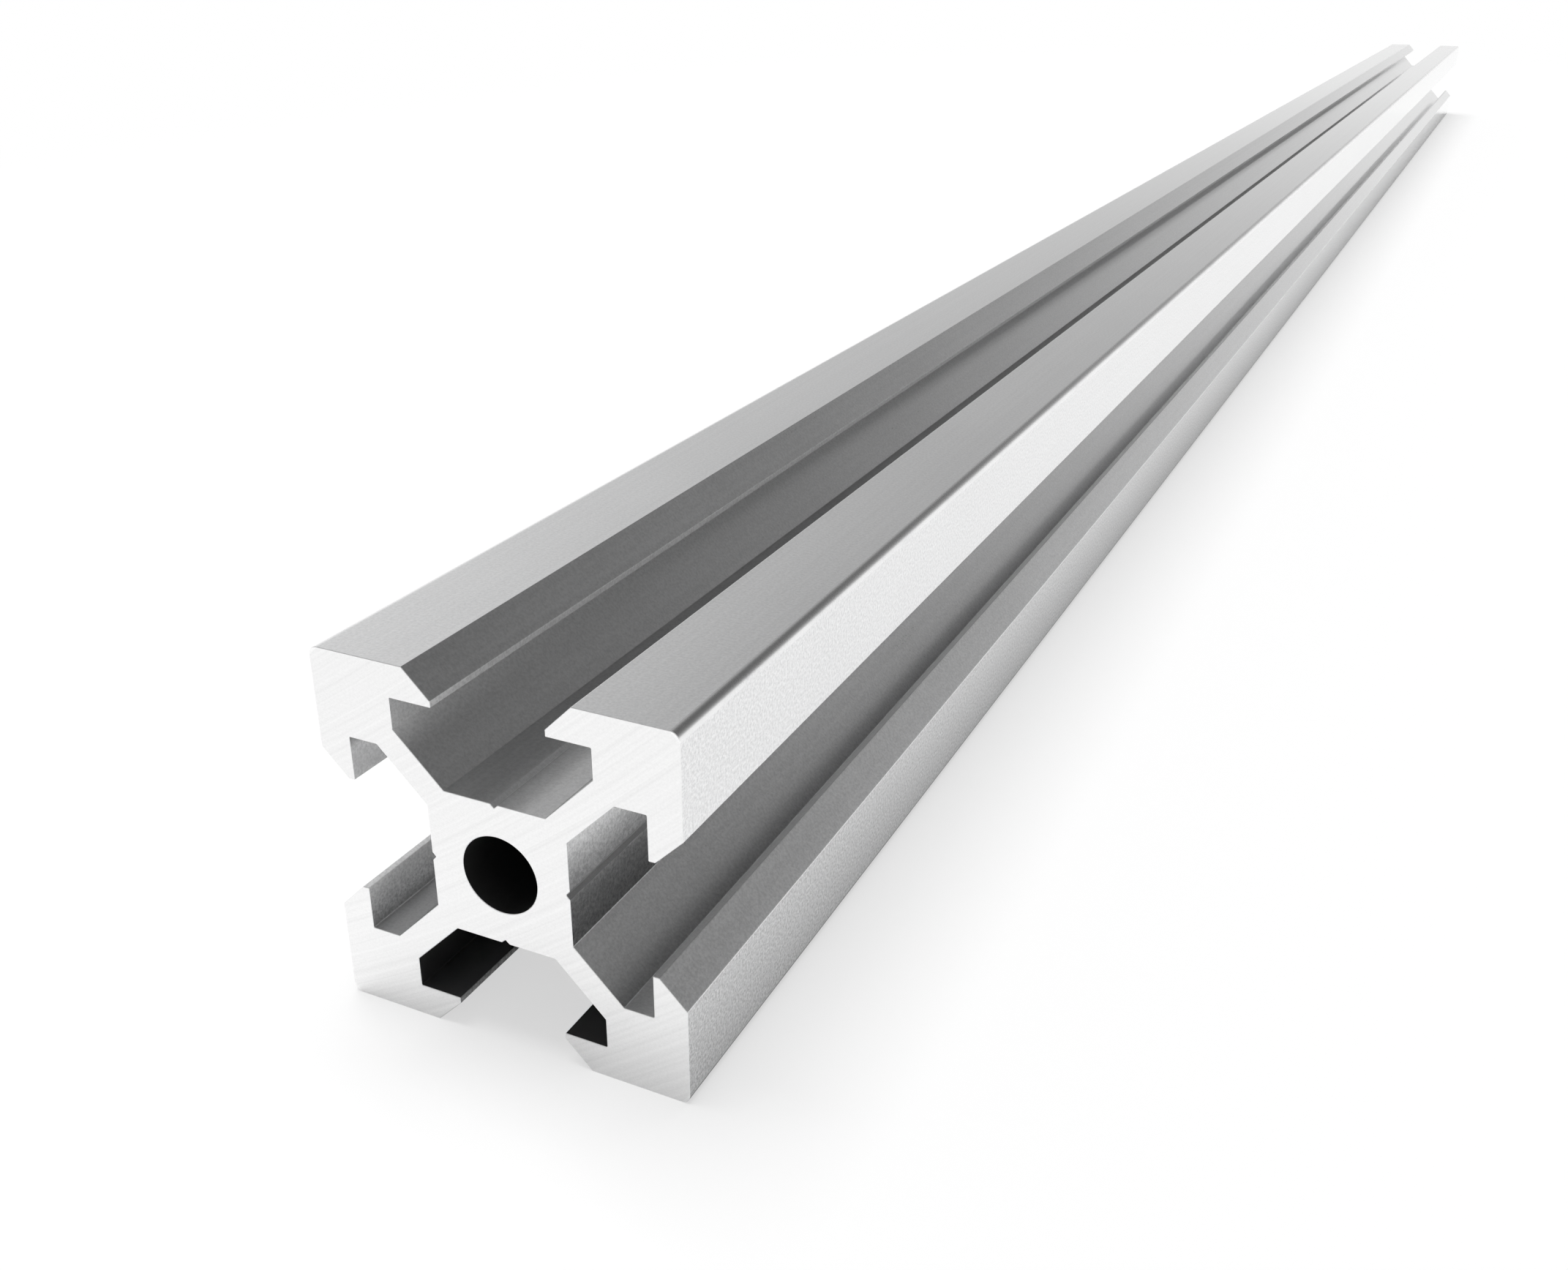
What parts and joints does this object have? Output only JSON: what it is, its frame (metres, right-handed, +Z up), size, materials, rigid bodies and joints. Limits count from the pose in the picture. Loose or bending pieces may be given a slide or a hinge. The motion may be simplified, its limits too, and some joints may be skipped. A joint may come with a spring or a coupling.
{
  "type": "aluminium extrusion profile",
  "caption": "Straight square aluminium bar with a V-mouthed T slot along each side and a plain bore through its core, for building frames and linear guides.",
  "frame": {"origin": "centre of the bar's underside, on the surface that it lies on, halfway along its length", "axes": "+Y along the bar and its bore, +X across it, +Z up out of its top slot"},
  "size_m": [0.02, 0.5, 0.02],
  "materials": {
    "anodised_aluminium": "satin natural anodised, with bare saw-cut ends"
  },
  "bodies": {
    "root": {"profile": "anodised_aluminium"}
  },
  "joints": []
}
